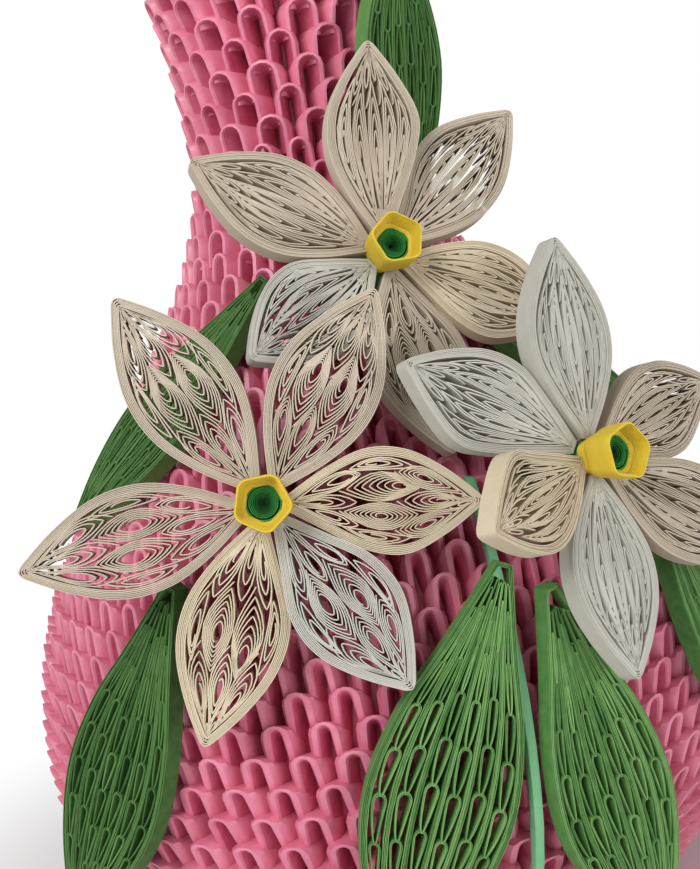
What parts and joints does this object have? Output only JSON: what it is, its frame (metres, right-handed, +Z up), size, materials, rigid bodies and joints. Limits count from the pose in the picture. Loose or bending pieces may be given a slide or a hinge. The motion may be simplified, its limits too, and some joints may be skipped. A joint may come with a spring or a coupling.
{
  "type": "modular origami vase",
  "caption": "Round-bellied vase with a narrow open neck, built of interlocked folded paper modules and dressed in front with quilled paper flowers and leaves.",
  "frame": {"origin": "on the plane of the foot, under the middle of the box around the vase and its flowers", "axes": "+Z up along the vase's axis, -Y out of the side that carries the flowers"},
  "size_m": [0.2236, 0.2474, 0.2834],
  "materials": {
    "pink_paper": "matt, folded",
    "ivory_paper": "matt, strips on edge",
    "yellow_paper": "matt, folded strip",
    "coil_paper": "matt, tight coil",
    "leaf_paper": "matt, strips on edge",
    "stem_paper": "matt, strip on edge"
  },
  "bodies": {
    "root": {"foot_rings": "pink_paper", "belly_rings": "pink_paper", "shoulder_rings": "pink_paper", "upper_shoulder_rings": "pink_paper", "collar_rings": "pink_paper", "neck_base_rings": "pink_paper", "neck_rings": "pink_paper", "petal_left_1": "ivory_paper", "petal_left_2": "ivory_paper", "petal_left_3": "ivory_paper", "petal_left_4": "ivory_paper", "petal_left_5": "ivory_paper", "petal_left_6": "ivory_paper", "cup_left": "yellow_paper", "eye_left": "coil_paper", "petal_top_1": "ivory_paper", "petal_top_2": "ivory_paper", "petal_top_3": "ivory_paper", "petal_top_4": "ivory_paper", "petal_top_5": "ivory_paper", "petal_top_6": "ivory_paper", "cup_top": "yellow_paper", "eye_top": "coil_paper", "petal_right_1": "ivory_paper", "petal_right_2": "ivory_paper", "petal_right_3": "ivory_paper", "petal_right_4": "ivory_paper", "petal_right_5": "ivory_paper", "petal_right_6": "ivory_paper", "cup_right": "yellow_paper", "eye_right": "coil_paper", "leaf_top": "leaf_paper", "leaf_left": "leaf_paper", "leaf_lower_left": "leaf_paper", "leaf_bottom_left": "leaf_paper", "leaf_bottom_right": "leaf_paper", "leaf_right_upper": "leaf_paper", "leaf_right_lower": "leaf_paper", "stem": "stem_paper"}
  },
  "joints": []
}
